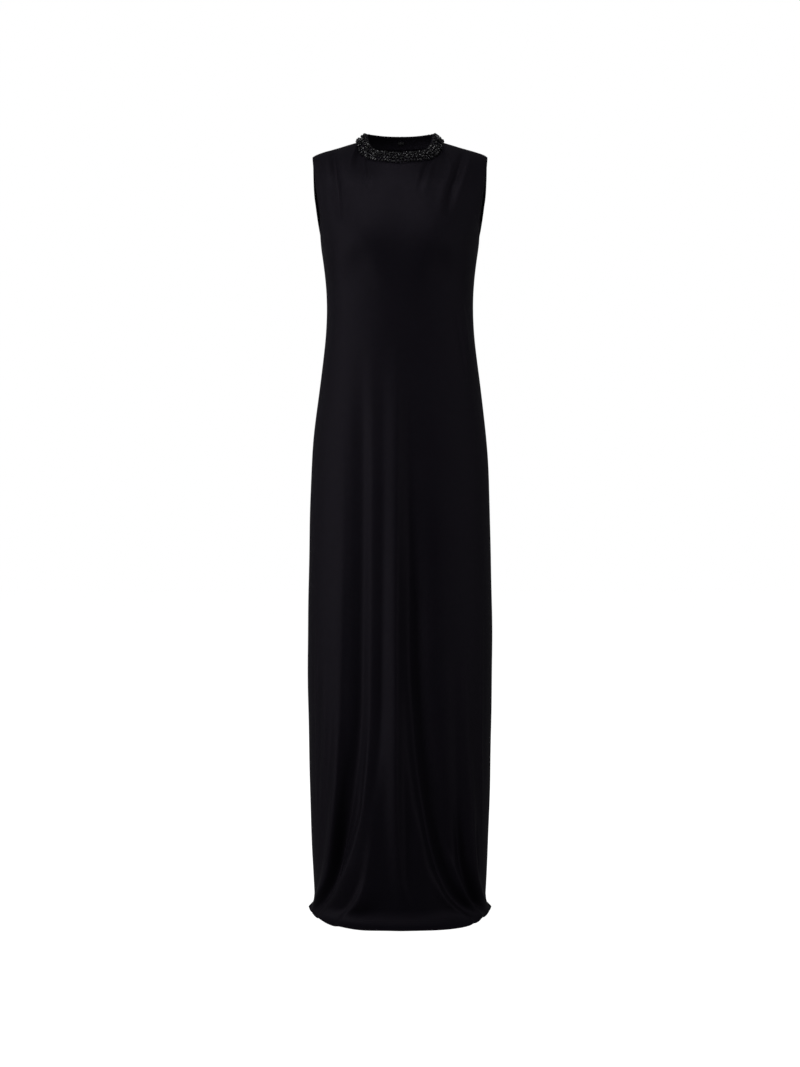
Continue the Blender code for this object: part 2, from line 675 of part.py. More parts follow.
def make_fastening():
    """Hook and bar that close the band's ends: the hook's plate lies on the band, its tongue over the bar."""
    plate = 0.0008
    seat = 0.0012  # clears the curve of the band at the plate's far end
    over = seat + plate + SEAM_GAP
    bar = {"near": -0.0022, "far": -0.0032, "half": 0.0034}
    hook = {"end": 0.0085, "neck": 0.0020, "rise": 0.0006, "half": 0.0020}
    catch = bar["far"] - SEAM_GAP
    metal_strip(
        "bar",
        [(bar["near"], seat), (bar["near"], seat + plate), (bar["far"], seat + plate), (bar["far"], seat)],
        bar["half"],
    )
    metal_strip(
        "hook",
        [
            (hook["end"], seat),
            (hook["end"], seat + plate),
            (hook["neck"], seat + plate),
            (hook["rise"], over + plate),
            (catch - plate, over + plate),
            (catch - plate, seat + SEAM_GAP),
            (catch, seat + SEAM_GAP),
            (catch, over),
            (hook["rise"], over),
            (hook["neck"], seat),
        ],
        hook["half"],
    )


for leftover in list(bpy.data.objects):
    bpy.data.objects.remove(leftover)
NODES = neck_nodes()
make_front_panel()
make_back_panel()
make_neck_band()
make_fastening()
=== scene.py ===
from math import cos, pi, radians, sin

import bpy
import numpy as np
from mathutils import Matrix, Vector


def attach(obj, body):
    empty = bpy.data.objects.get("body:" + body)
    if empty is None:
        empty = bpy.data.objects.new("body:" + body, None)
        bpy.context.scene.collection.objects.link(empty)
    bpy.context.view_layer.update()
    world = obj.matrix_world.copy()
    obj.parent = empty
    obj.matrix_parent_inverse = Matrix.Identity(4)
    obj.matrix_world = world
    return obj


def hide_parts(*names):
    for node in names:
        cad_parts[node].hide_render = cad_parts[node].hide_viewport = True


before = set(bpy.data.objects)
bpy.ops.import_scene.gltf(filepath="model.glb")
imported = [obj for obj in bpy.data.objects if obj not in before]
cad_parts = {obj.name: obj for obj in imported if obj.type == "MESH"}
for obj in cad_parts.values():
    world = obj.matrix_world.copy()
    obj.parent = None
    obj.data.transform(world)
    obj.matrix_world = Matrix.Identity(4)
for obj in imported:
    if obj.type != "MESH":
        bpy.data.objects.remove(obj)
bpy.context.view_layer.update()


def deselectAll():
    for thing in bpy.context.selected_objects:
        thing.select_set(False)


def makeActive(thing):
    deselectAll()
    thing.select_set(True)
    bpy.context.view_layer.objects.active = thing


deselectAll()

# camera: straight ahead at half the dress's height, as the picture was taken
camera = {
    "distance": 2.8,
    "eyeHeight": 0.7597,  # above the floor
    "focalPixels": 1374.8,
    "pictureHeight": 1067,
    "sensor": 36.0,  # along the picture's long side
}

dress = {
    "shoulderLevel": 1.540,  # floor to the origin
    "underarm": 1.332,
    "chestLevel": 1.440,
    "armholeFront": 0.046,
    "armholeBack": 0.044,
    "armholeInset": 0.0085,  # the front's armhole lies this far in from the widest row
    "insetPace": 1.4,
    "squeeze": 2.2,  # how late the columns close up towards the armhole
    "edgeLean": 1.4,  # how much more the cloth leans out beside the armhole
    "seamGap": 0.0003,  # between the solids
    "seamLap": 0.0001,  # each panel's edge goes this far past the seam, so no light shows through
    "floorGap": 0.0012,  # the hem's cloth lies this high
}


def setUpCamera():
    data = bpy.data.cameras.new("camera")
    data.sensor_width = camera["sensor"]
    data.lens = camera["focalPixels"] / camera["pictureHeight"] * camera["sensor"]
    eye = bpy.data.objects.new("camera", data)
    bpy.context.scene.collection.objects.link(eye)
    eye.location = (0, -camera["distance"], camera["eyeHeight"] - dress["shoulderLevel"])
    eye.rotation_euler = (radians(90), 0, 0)
    bpy.context.scene.camera = eye


setUpCamera()
print("camera set")


# small tools for curves and directions


def table(names, *rows):
    return dict(zip(names.split(), np.array(rows, float).T))


def softCurve(xs, ys, x):  # never overshoots its points
    steps = np.diff(xs)
    slopes = np.diff(ys) / steps
    product = slopes[1:] * slopes[:-1]
    total = slopes[1:] + slopes[:-1]
    inner = np.where(product > 0, 2 * product / np.where(total == 0, 1, total), 0)
    tangents = np.concatenate([slopes[:1], inner, slopes[-1:]])
    x = np.clip(x, xs[0], xs[-1])
    i = np.clip(np.searchsorted(xs, x) - 1, 0, len(steps) - 1)
    t = (x - xs[i]) / steps[i]
    return (
        ys[i] * (1 + 2 * t) * (1 - t) ** 2
        + ys[i + 1] * (3 - 2 * t) * t**2
        + steps[i] * t * (1 - t) * (tangents[i] * (1 - t) - tangents[i + 1] * t)
    )


def flowingCurve(xs, ys, x):  # bends evenly through its points
    steps = np.diff(xs)
    slopes = np.diff(ys) / steps
    system = np.eye(len(xs))
    bends = np.zeros(len(xs))
    for k in range(1, len(xs) - 1):
        system[k, k - 1 : k + 2] = steps[k - 1], 2 * (steps[k - 1] + steps[k]), steps[k]
        bends[k] = 6 * (slopes[k] - slopes[k - 1])
    bends = np.linalg.solve(system, bends)
    i = int(np.clip(np.searchsorted(xs, x) - 1, 0, len(steps) - 1))
    t = (x - xs[i]) / steps[i]
    sag = (1 - t) * (((1 - t) ** 2 - 1) * bends[i]) + t * ((t**2 - 1) * bends[i + 1])
    return ys[i] + t * (ys[i + 1] - ys[i]) + steps[i] ** 2 / 6 * sag


def unit(vectors):
    return vectors / np.linalg.norm(vectors, axis=-1, keepdims=True)


def ease(t):
    t = np.clip(t, 0, 1)
    return t * t * (3 - 2 * t)


def runAlong(points):
    return np.concatenate([[0], np.cumsum(np.linalg.norm(np.diff(points, axis=0), axis=1))])


def read(at, run, values):  # each coordinate of the values, at places along a run
    return np.stack([np.interp(at, run, values[:, k]) for k in range(values.shape[1])], axis=-1)


def byLength(points, shares):
    run = runAlong(points)
    return read(shares * run[-1], run, points)


def lowered(points):  # heights above the floor become heights from the origin
    return np.asarray(points) - (0, 0, dress["shoulderLevel"])


# the dress's form: the same sizes as its solids, cut finer

bodyTable = table(
    "height halfWidth front back squareness",
    (0.034, 0.1738, 0.1440, 0.1250, 2.30),
    (0.165, 0.1800, 0.1390, 0.1230, 2.25),
    (0.350, 0.1853, 0.1330, 0.1230, 2.20),
    (0.530, 0.1874, 0.1280, 0.1230, 2.18),
    (0.745, 0.1843, 0.1225, 0.1220, 2.15),
    (0.868, 0.1810, 0.1200, 0.1205, 2.12),
    (0.959, 0.1752, 0.1170, 0.1160, 2.10),
    (1.051, 0.1640, 0.1125, 0.1050, 2.20),
    (1.143, 0.1527, 0.1095, 0.0970, 2.30),
    (1.204, 0.1487, 0.1105, 0.0970, 2.34),
    (1.265, 0.1487, 0.1138, 0.1000, 2.36),
    (1.332, 0.1560, 0.1180, 0.1050, 2.34),
    (1.390, 0.1676, 0.1130, 0.1060, 2.28),
    (1.440, 0.1750, 0.1020, 0.1020, 2.24),
)
hemTable = table(
    "x reach",
    (0.0000, 0.1750),
    (0.0600, 0.1714),
    (0.1138, 0.1536),
    (0.1394, 0.1314),
    (0.1520, 0.1118),
    (0.1652, 0.0820),
    (0.1782, 0.0428),
    (0.1860, 0.0000),
)
shoulderTable = table(
    "halfWidth height",
    (0.0870, 1.5568),
    (0.1065, 1.5508),
    (0.1193, 1.5462),
    (0.1489, 1.5367),
    (0.1705, 1.5292),
    (0.1775, 1.5248),
)
neckTable = table(
    "angle seam rim",
    (0, 1.4930, 1.5165),
    (40, 1.5040, 1.5245),
    (65, 1.5240, 1.5435),
    (90, 1.5568, 1.5725),
    (135, 1.5585, 1.5800),
    (180, 1.5585, 1.5815),
)
neck = {
    "seam": (0.0870, 0.0800, 0.0600),  # half width, front and back reach
    "rim": (0.0668, 0.0645, 0.0500),
}
arrival = {  # how the cloth runs up to the neckline, at its centre and beside the shoulder seam
    -1: {"centre": (0, 0.42, 0.90), "side": (0, 0.88, 0.47)},
    1: {"centre": (0, -0.35, 0.94), "side": (0, -0.97, -0.22)},
}
inwardArrival = 0.35
bust = {
    "x": 0.082,
    "height": 1.333,
    "reach": 0.062,
    "above": 0.080,
    "below": 0.034,
    "middleBelow": 0.080,  # the cloth spans from side to side and falls more slowly between
    "fullness": 0.040,
    "rise": 0.0125,
}
skirtBreak = {"height": 0.034, "sharpness": 2.1, "backShare": 0.87}
finePoints = 400  # points that a curve is read at before it is cut into columns


def bodySize(column, height):
    return flowingCurve(bodyTable["height"], bodyTable[column], height)


def levelLine(side, columns, halfWidth, reach, edge, square):
    wholeWidth = halfWidth / (1 - (edge / reach) ** square) ** (1 / square)
    quarters = []
    for last in (pi / 2, np.arccos((edge / reach) ** (square / 2))):
        turn = np.linspace(0, last, finePoints)
        quarters.append(np.stack([
            wholeWidth * np.sin(turn) ** (2 / square),
            reach * np.cos(turn) ** (2 / square),
        ], axis=1))
    kept = runAlong(quarters[1])[-1] / runAlong(quarters[0])[-1]
    shares = np.linspace(0, 1, columns // 2 + 1)
    half = byLength(quarters[1], (shares - (1 - kept) * shares ** dress["squeeze"]) / kept)
    whole = np.concatenate([half[:0:-1] * (-1, 1), half])
    return whole * (1, side)


def bodyRow(side, columns, height):
    reach = bodySize("front" if side < 0 else "back", height)
    halfWidth = bodySize("halfWidth", height)
    edge = dress["seamGap"] / 2
    if height > dress["underarm"]:
        rise = (height - dress["underarm"]) / (dress["chestLevel"] - dress["underarm"])
        edge += dress["armholeFront" if side < 0 else "armholeBack"] * np.sqrt(1 - (1 - rise) ** 2)
        halfWidth -= dress["armholeInset"] * ease(rise * dress["insetPace"]) * (side < 0)
    line = levelLine(side, columns, halfWidth, reach, edge, bodySize("squareness", height))
    line[[0, -1], 1] -= side * (dress["seamGap"] / 2 + dress["seamLap"])
    return np.column_stack([line, np.full(len(line), height)])


def breakRow(side, columns, turn):  # the skirt turns out where it meets the floor
    out = 1 - cos(turn) ** (2 / skirtBreak["sharpness"])
    up = 1 - sin(turn) ** (2 / skirtBreak["sharpness"])
    above = bodyRow(side, columns, skirtBreak["height"])[:, :2]
    along = np.linspace(0, 1, finePoints)
    nodes = np.linspace(0, 1, len(hemTable["x"]))
    half = np.stack([softCurve(nodes, hemTable[column], along) for column in ("x", "reach")], axis=1)
    half = byLength(half, np.linspace(0, 1, columns // 2 + 1))
    half[-1, 1] = -dress["seamLap"]
    hem = np.concatenate([half[:0:-1] * (-1, 1), half]) * (1, side)
    if side > 0:
        hem[1:-1, 1] *= skirtBreak["backShare"]
    line = above + out * (hem - above)
    low = dress["floorGap"]
    return np.column_stack([line, np.full(len(line), low + up * (skirtBreak["height"] - low))])


def neckCurve(angle, edge):  # angle runs from the centre front, negative towards the wearer's right
    halfWidth, front, back = neck[edge]
    depth = front if abs(angle) <= pi / 2 else back
    height = softCurve(neckTable["angle"], neckTable[edge], abs(angle) * 180 / pi)
    return np.array([halfWidth * sin(angle), -depth * cos(angle), height])


def neckLine(angle, step=0.01):  # place on the seam, the way up the band, and the way out of it
    seam = neckCurve(angle, "seam")
    up = unit(neckCurve(angle, "rim") - seam)
    along = neckCurve(angle + step, "seam") - neckCurve(angle - step, "seam")
    return seam, up, unit(np.cross(along, up))


def topRow(side, columns, neckColumns):  # along the neckline, then out along the shoulder seams
    points, slopes, outs = [], [], []
    half = columns // 2
    gap = dress["seamGap"] / 2
    lap = -side * dress["seamLap"]
    step = 0.002  # for the seam's slope
    centre, beside = np.array(arrival[side]["centre"]), np.array(arrival[side]["side"])
    seamLine = shoulderTable["halfWidth"], shoulderTable["height"]
    neckSide, tip = shoulderTable["halfWidth"][[0, -1]]
    for j in range(-half, half + 1):
        if abs(j) <= neckColumns:
            share = abs(j) / neckColumns
            angle = share * pi / 2 if side < 0 else pi - share * pi / 2
            point, up, out = neckLine(angle)
            if abs(j) == neckColumns:
                out = unit(np.array([out[0], 0, out[2]]))
                point[1] = lap
            point = point - up * gap * (abs(j) < neckColumns)
            slope = (1 - share**2) * centre + share**2 * beside
            slope[0] -= inwardArrival * sin(pi * share)
        else:
            share = (abs(j) - neckColumns) / (half - neckColumns)
            x = neckSide + share * (tip - neckSide)
            point = np.array([x, lap, softCurve(*seamLine, x)])
            slope = beside * (1, 1, (1 - share) ** 2)
            rise = softCurve(*seamLine, x) - softCurve(*seamLine, x - step)
            out = unit(np.array([-rise / step, 0, 1]))
        mirror = np.array([1 if j >= 0 else -1, 1, 1])
        points.append(point * mirror)
        slopes.append(unit(slope) * mirror)
        outs.append(out * mirror)
    return np.array(points), np.array(slopes), np.array(outs)


def yokeRows(side, columns, neckColumns, count):  # from the chest up to the seams, in soft curves
    start = bodyRow(side, columns, dress["chestLevel"])
    step = 0.012  # for the lean of the cloth at the chest
    lean = (start - bodyRow(side, columns, dress["chestLevel"] - step)) / step
    end, slopes, outs = topRow(side, columns, neckColumns)
    span = np.linalg.norm(end - start, axis=1)[:, None]
    level = np.linspace(-1, 1, columns + 1)[:, None]
    lean[:, :2] *= 1 + (dress["edgeLean"] - 1) * np.abs(level) ** 6
    rows = []
    for k in range(1, count + 1):
        t = k / count
        rows.append(
            start * (1 + 2 * t) * (1 - t) ** 2
            + end * (3 - 2 * t) * t**2
            + span * t * (1 - t) * (lean * (1 - t) - slopes * t)
        )
    return rows, outs


# creases, one by one: how far it spreads to the left and right as seen, and its path as height above the
# floor, x, and depth; ridges are positive and troughs negative
frontCreases = (
    # skirt ridges from the wearer's right to the left
    (0.0035, 0.0030, ((0.62, -0.164, 0), (0.50, -0.166, 0.0012), (0.30, -0.165, 0.0014),
                      (0.16, -0.164, 0))),
    (0.0070, 0.0070, ((0.50, -0.151, 0), (0.36, -0.147, 0.0050), (0.20, -0.156, 0.0014),
                      (0.08, -0.162, 0))),
    (0.0120, 0.0065, ((1.10, -0.114, 0), (0.80, -0.113, 0.0012), (0.43, -0.118, 0.0034),
                      (0.31, -0.119, 0.0092), (0.16, -0.129, 0.0144), (0.09, -0.140, 0.0136),
                      (0.04, -0.157, 0.0110), (0.00, -0.176, 0.0016))),
    (0.0036, 0.0400, ((1.15, -0.056, 0), (0.98, -0.054, 0.0008), (0.43, -0.058, 0.0026),
                      (0.24, -0.069, 0.0116), (0.16, -0.086, 0.0114), (0.11, -0.102, 0.0134),
                      (0.06, -0.126, 0.0108), (0.00, -0.161, 0.0020))),
    (0.0060, 0.0240, ((0.22, -0.047, 0), (0.155, -0.054, 0.0030), (0.10, -0.062, 0.0056),
                      (0.05, -0.078, 0.0110), (0.00, -0.118, 0.0022))),
    (0.0125, 0.0060, ((1.14, -0.012, 0), (0.98, -0.006, 0.0050), (0.43, -0.007, 0.0112),
                      (0.24, -0.006, 0.0130), (0.10, 0.000, 0.0078), (0.03, 0.014, 0))),
    (0.0075, 0.0035, ((0.24, 0.034, 0), (0.18, 0.044, 0.0038), (0.118, 0.064, 0.0020),
                      (0.055, 0.088, 0.0060), (0.02, 0.120, 0.0036), (0.00, 0.146, 0.0014))),
    (0.0100, 0.0045, ((0.28, 0.064, 0), (0.22, 0.070, 0.0012), (0.16, 0.084, 0.0024),
                      (0.10, 0.110, 0.0066), (0.05, 0.130, 0.0110), (0.00, 0.164, 0.0022))),
    (0.0085, 0.0075, ((0.60, 0.128, 0), (0.42, 0.132, 0.0020), (0.31, 0.135, 0.0040),
                      (0.20, 0.141, 0.0052), (0.11, 0.146, 0.0064), (0.05, 0.157, 0.0066),
                      (0.00, 0.180, 0.0012))),
    (0.0030, 0.0030, ((0.66, 0.160, 0), (0.52, 0.163, 0.0012), (0.30, 0.162, 0.0016),
                      (0.14, 0.164, 0))),
    # skirt troughs
    (0.0147, 0.0080, ((1.15, -0.077, 0), (0.86, -0.074, -0.0064), (0.43, -0.078, -0.0104),
                      (0.24, -0.095, -0.0120), (0.12, -0.120, -0.0165), (0.06, -0.134, -0.0090),
                      (0.00, -0.168, 0))),
    (0.0075, 0.0073, ((1.15, -0.034, 0), (0.92, -0.033, -0.0010), (0.43, -0.036, -0.0036),
                      (0.28, -0.048, -0.0024), (0.20, -0.060, 0))),
    (0.0095, 0.0250, ((1.15, 0.022, 0), (0.88, 0.021, -0.0060), (0.55, 0.020, -0.0165),
                      (0.36, 0.030, -0.0187), (0.24, 0.046, -0.0215), (0.12, 0.072, -0.0205),
                      (0.05, 0.104, -0.0150), (0.00, 0.154, 0))),
    (0.0085, 0.0070, ((0.56, 0.106, 0), (0.40, 0.108, -0.0020), (0.24, 0.113, -0.0036),
                      (0.12, 0.125, -0.0150), (0.04, 0.149, -0.0150), (0.00, 0.173, 0))),
    (0.0028, 0.0030, ((0.20, 0.148, 0), (0.14, 0.151, -0.0030), (0.10, 0.153, -0.0026),
                      (0.06, 0.155, 0))),
    # pleats let into the shoulder seams, and the pull of the band
    (0.0070, 0.0028, ((1.539, -0.132, 0), (1.515, -0.131, -0.0038), (1.480, -0.128, -0.0052),
                      (1.430, -0.121, -0.0042), (1.370, -0.112, 0))),
    (0.0070, 0.0080, ((1.539, -0.150, 0), (1.505, -0.147, 0.0032), (1.440, -0.141, 0.0028),
                      (1.380, -0.134, 0))),
    (0.0055, 0.0090, ((1.535, -0.118, 0), (1.500, -0.116, 0.0026), (1.440, -0.108, 0.0026),
                      (1.370, -0.098, 0))),
    (0.0035, 0.0070, ((1.538, 0.128, 0), (1.515, 0.123, -0.0042), (1.470, 0.112, -0.0052),
                      (1.430, 0.099, -0.0042), (1.375, 0.087, 0))),
    (0.0060, 0.0080, ((1.538, 0.142, 0), (1.505, 0.136, 0.0026), (1.440, 0.119, 0.0028),
                      (1.380, 0.102, 0))),
    (0.0080, 0.0050, ((1.530, 0.110, 0), (1.480, 0.100, 0.0016), (1.430, 0.086, 0.0026),
                      (1.370, 0.074, 0))),
    (0.0028, 0.0028, ((1.523, -0.073, 0), (1.505, -0.0715, 0.0032), (1.470, -0.069, 0.0022),
                      (1.430, -0.068, 0))),
    (0.0030, 0.0040, ((1.512, -0.059, 0), (1.490, -0.057, 0.0014), (1.460, -0.056, 0.0010),
                      (1.420, -0.056, 0))),
    (0.0030, 0.0040, ((1.518, 0.064, 0), (1.498, 0.055, -0.0028), (1.470, 0.046, -0.0024),
                      (1.430, 0.036, 0))),
    (0.0045, 0.0050, ((1.522, 0.074, 0), (1.500, 0.066, 0.0018), (1.465, 0.056, 0.0014),
                      (1.420, 0.045, 0))),
    # drag lines at the wearer's left waist
    (0.0030, 0.0040, ((1.26, 0.116, 0), (1.22, 0.122, 0.0014), (1.17, 0.131, 0.0018),
                      (1.11, 0.139, 0))),
    (0.0040, 0.0030, ((1.23, 0.108, 0), (1.18, 0.114, -0.0010), (1.12, 0.124, -0.0012),
                      (1.06, 0.132, 0))),
)
backCreases = (
    (0.0110, 0.0060, ((1.05, -0.052, 0), (0.85, -0.053, 0.0026), (0.43, -0.058, 0.0042),
                      (0.20, -0.072, 0.0052), (0.06, -0.096, 0.0044), (0.00, -0.112, 0))),
    (0.0060, 0.0110, ((1.00, 0.004, 0), (0.80, 0.006, 0.0028), (0.43, 0.009, 0.0045),
                      (0.20, 0.013, 0.0048), (0.06, 0.018, 0.0034), (0.00, 0.022, 0))),
    (0.0060, 0.0100, ((0.85, 0.080, 0), (0.65, 0.082, 0.0024), (0.43, 0.086, 0.0038),
                      (0.20, 0.103, 0.0052), (0.06, 0.124, 0.0046), (0.00, 0.138, 0))),
    (0.0050, 0.0060, ((0.62, -0.134, 0), (0.43, -0.136, 0.0022), (0.20, -0.144, 0.0044),
                      (0.06, -0.158, 0.0040), (0.00, -0.170, 0))),
    (0.0050, 0.0040, ((0.50, 0.134, 0), (0.34, 0.136, 0.0020), (0.16, 0.143, 0.0042),
                      (0.05, 0.156, 0.0038), (0.00, 0.168, 0))),
    (0.0040, 0.0050, ((0.24, 0.046, 0), (0.15, 0.052, 0.0024), (0.07, 0.062, 0.0036),
                      (0.00, 0.078, 0))),
    (0.0150, 0.0110, ((1.10, -0.026, 0), (0.85, -0.026, -0.0036), (0.43, -0.027, -0.0050),
                      (0.20, -0.034, -0.0058), (0.06, -0.046, -0.0052), (0.00, -0.054, 0))),
    (0.0110, 0.0150, ((0.95, 0.046, 0), (0.75, 0.046, -0.0034), (0.43, 0.050, -0.0048),
                      (0.20, 0.060, -0.0062), (0.06, 0.078, -0.0062), (0.00, 0.090, 0))),
    (0.0110, 0.0080, ((0.70, -0.112, 0), (0.43, -0.114, -0.0034), (0.20, -0.124, -0.0052),
                      (0.06, -0.140, -0.0052), (0.00, -0.150, 0))),
    (0.0080, 0.0090, ((0.60, 0.116, 0), (0.43, 0.117, -0.0024), (0.20, 0.126, -0.0044),
                      (0.06, 0.142, -0.0044), (0.00, 0.152, 0))),
    # shoulders and the small of the back
    (0.0035, 0.0080, ((1.539, -0.134, 0), (1.500, -0.130, -0.0032), (1.440, -0.124, -0.0024),
                      (1.380, -0.116, 0))),
    (0.0080, 0.0035, ((1.539, 0.132, 0), (1.500, 0.127, -0.0032), (1.440, 0.120, -0.0024),
                      (1.380, 0.110, 0))),
    (0.0050, 0.0060, ((1.539, -0.116, 0), (1.495, -0.112, 0.0018), (1.440, -0.104, 0.0014),
                      (1.390, -0.096, 0))),
    (0.0060, 0.0050, ((1.539, 0.114, 0), (1.495, 0.110, 0.0020), (1.440, 0.102, 0.0014),
                      (1.390, 0.094, 0))),
    (0.0060, 0.0060, ((1.24, -0.108, 0), (1.18, -0.100, 0.0014), (1.12, -0.090, 0.0012),
                      (1.06, -0.082, 0))),
    (0.0060, 0.0060, ((1.22, 0.104, 0), (1.17, 0.096, 0.0016), (1.10, 0.084, 0.0014),
                      (1.03, 0.076, 0))),
)


def creaseDepth(row, creases, calmFrom):
    x, height, run = row[:, 0], row[:, 2], runAlong(row)
    depth = np.zeros(len(row))
    ahead = x[0] < x[-1]
    for left, right, path in creases:
        path = np.array(path)[::-1]
        inside = (height > path[0, 0]) & (height < path[-1, 0])
        if not inside.any():
            continue
        centre = softCurve(path[:, 0], path[:, 1], height)
        amount = softCurve(path[:, 0], path[:, 2], height)
        middle = np.interp(centre, x, run) if ahead else np.interp(centre, x[::-1], run[::-1])
        away = run - middle
        spread = np.where((away < 0) == ahead, left, right)
        depth += inside * amount * np.exp(-((away / spread) ** 2) / 2)
    share = np.abs(np.linspace(-1, 1, len(row)))
    return depth * (1 - ease((share - calmFrom) / (1 - calmFrom)))


def bustDepth(points):
    above = points[..., 2] - bust["height"]
    rise = np.zeros(points.shape[:-1])
    for hand in (-1, 1):
        sideways = points[..., 0] - hand * bust["x"]
        full = np.exp(-((sideways / bust["fullness"]) ** 2))
        below = bust["middleBelow"] + (bust["below"] - bust["middleBelow"]) * full
        upright = above / np.where(above > 0, bust["above"], below)
        rise += bust["rise"] * np.exp(-((sideways / bust["reach"]) ** 2) - upright**2)
    return rise


# panels
panels = {
    "front": {"side": -1, "columns": 176, "neckColumns": 48, "creases": frontCreases},
    "back": {"side": 1, "columns": 160, "neckColumns": 40, "creases": backCreases},
    "wall": 0.0011,
    "hemTurning": 0.030,  # cloth turned up inside the hem
    "armholeTurning": 0.007,
    "turningExtra": 0.0009,  # how much thicker the cloth is there
    "calmFrom": 0.90,
    "seamDip": 0.0009,  # seams sink in a little
    "seamDipReach": 0.0032,
    "unevenness": 0.00045,
    "breakRows": 14,
    "lowStep": 0.0055,  # rows of the lower skirt
    "lowUpTo": 0.25,
    "bodyRows": 112,
    "armholeRows": 22,
    "shearedRows": 7,  # just above the underarm
    "yokeRows": 40,
    "fadeRows": 5,  # the creases fade out over these, below the top and beside the side seams
    "fadeColumns": 3,
    "edgeBulge": 0.9,  # share of half the wall by which a free edge is rounded
    "sharpFrom": 70,  # degrees
    "slit": 0.150,  # opening at the centre back, below the band
    "slitGap": 0.0002,
    "slitEndRows": 3,  # the gap opens over these
}


def panelLevels():
    low = np.arange(skirtBreak["height"], panels["lowUpTo"], panels["lowStep"])
    high = np.linspace(low[-1], dress["underarm"], panels["bodyRows"] + 1)[1:-1]
    turn = pi / 2 * np.arange(panels["armholeRows"] + 1) / panels["armholeRows"]
    armhole = dress["chestLevel"] - (dress["chestLevel"] - dress["underarm"]) * np.cos(turn)
    return np.concatenate([low, high, armhole])


def upTheCloth(grid):  # direction of each column, true also where the rows lie unevenly
    lines = grid.transpose(1, 0, 2)
    return np.array([np.gradient(line, runAlong(line), axis=0) for line in lines]).transpose(1, 0, 2)


def steadied(grid, out, seamRows):
    # above the underarm the columns shear, so the walls there follow the rows below and above
    first, last = seamRows - 2, seamRows + panels["shearedRows"]
    for row in range(first + 1, last):
        share = np.ptp([grid[first, :, 2].mean(), grid[row, :, 2].mean()])
        share /= np.ptp([grid[first, :, 2].mean(), grid[last, :, 2].mean()])
        mixed = 0
        for other, weight in ((first, 1 - share), (last, share)):
            order = np.argsort(grid[other, :, 0])
            known = grid[other, order, 0]
            mixed = mixed + weight * read(grid[row, :, 0], known, out[other, order])
        out[row] = unit(mixed)


def wallDirections(grid, topOut, seamRows):
    out = unit(np.cross(np.gradient(grid, axis=1), upTheCloth(grid)))
    steadied(grid, out, seamRows)
    for edge in (0, -1):
        out[:seamRows, edge, 1] = 0
    out[-1] = topOut
    out[0] = (0, 0, 1)
    return unit(out)


def unevenness(grid):  # slow swells that keep the cloth from looking turned
    x, height = grid[..., 0], grid[..., 2]
    waves = (
        np.sin(31 * x + 4.1 * height + 1.3) * np.sin(9.7 * height + 0.4)
        + 0.7 * np.sin(57 * x - 6.3 * height + 4.0) * np.sin(15.1 * height + 2.2)
        + 0.5 * np.sin(23 * x + 38.0 * height + 0.9)
    )
    return panels["unevenness"] * waves


def panelGrid(panel):
    side, columns = panel["side"], panel["columns"]
    count = panels["breakRows"]
    rows = [breakRow(side, columns, pi / 2 * (1 - k / count)) for k in range(count)]
    levels = panelLevels()
    rows += [bodyRow(side, columns, height) for height in levels]
    seamRows = count + int(np.sum(levels <= dress["underarm"] + 1e-6))
    yoke, topOut = yokeRows(side, columns, panel["neckColumns"], panels["yokeRows"])
    grid = np.array(rows + yoke)
    if side > 0:
        grid = grid[:, ::-1]
        topOut = topOut[::-1]
    out = wallDirections(grid, topOut, seamRows)
    pushed = np.array([creaseDepth(row, panel["creases"], panels["calmFrom"]) for row in grid])
    pushed += unevenness(grid)
    if side < 0:
        pushed += bustDepth(grid)
    fromTop = np.arange(len(grid))[::-1, None]
    fromSide = np.minimum(np.arange(columns + 1), np.arange(columns + 1)[::-1])[None]
    pushed *= ease(fromTop / panels["fadeRows"]) * ease(fromSide / panels["fadeColumns"])
    grid = grid + out * pushed[..., None]
    # sunk seams along the sides, the shoulders and the neck
    runUp = np.array([runAlong(line) for line in grid.transpose(1, 0, 2)]).T
    runAcross = np.array([runAlong(line) for line in grid])
    toTop = runUp[-1] - runUp
    toSide = np.minimum(runAcross, runAcross[:, -1:] - runAcross)
    toSide[seamRows:] = 1
    near = np.minimum(toTop, toSide)
    out = wallDirections(grid, topOut, seamRows)
    dip = panels["seamDip"] * np.exp(-((near / panels["seamDipReach"]) ** 2))
    grid = grid - out * dip[..., None]
    out = wallDirections(grid, topOut, seamRows)
    return {"grid": grid, "out": out, "seamRows": seamRows, "runUp": runUp, "runAcross": runAcross}


def gridFaces(rows, columns):
    index = np.arange(rows * columns).reshape(rows, columns)
    corners = (index[:-1, :-1], index[:-1, 1:], index[1:, 1:], index[1:, :-1])
    return np.stack(corners, axis=-1).reshape(-1, 4), index


def awayDirections(form):  # off the cloth at its free edges: hem and armholes
    grid = form["grid"]
    away = np.zeros_like(grid)
    away[0] = unit(grid[0] - grid[1])
    for edge, beside in ((0, 1), (-1, -2)):
        rows = slice(form["seamRows"], len(grid) - 1)
        away[rows, edge] = unit(grid[rows, edge] - grid[rows, beside])
    return away


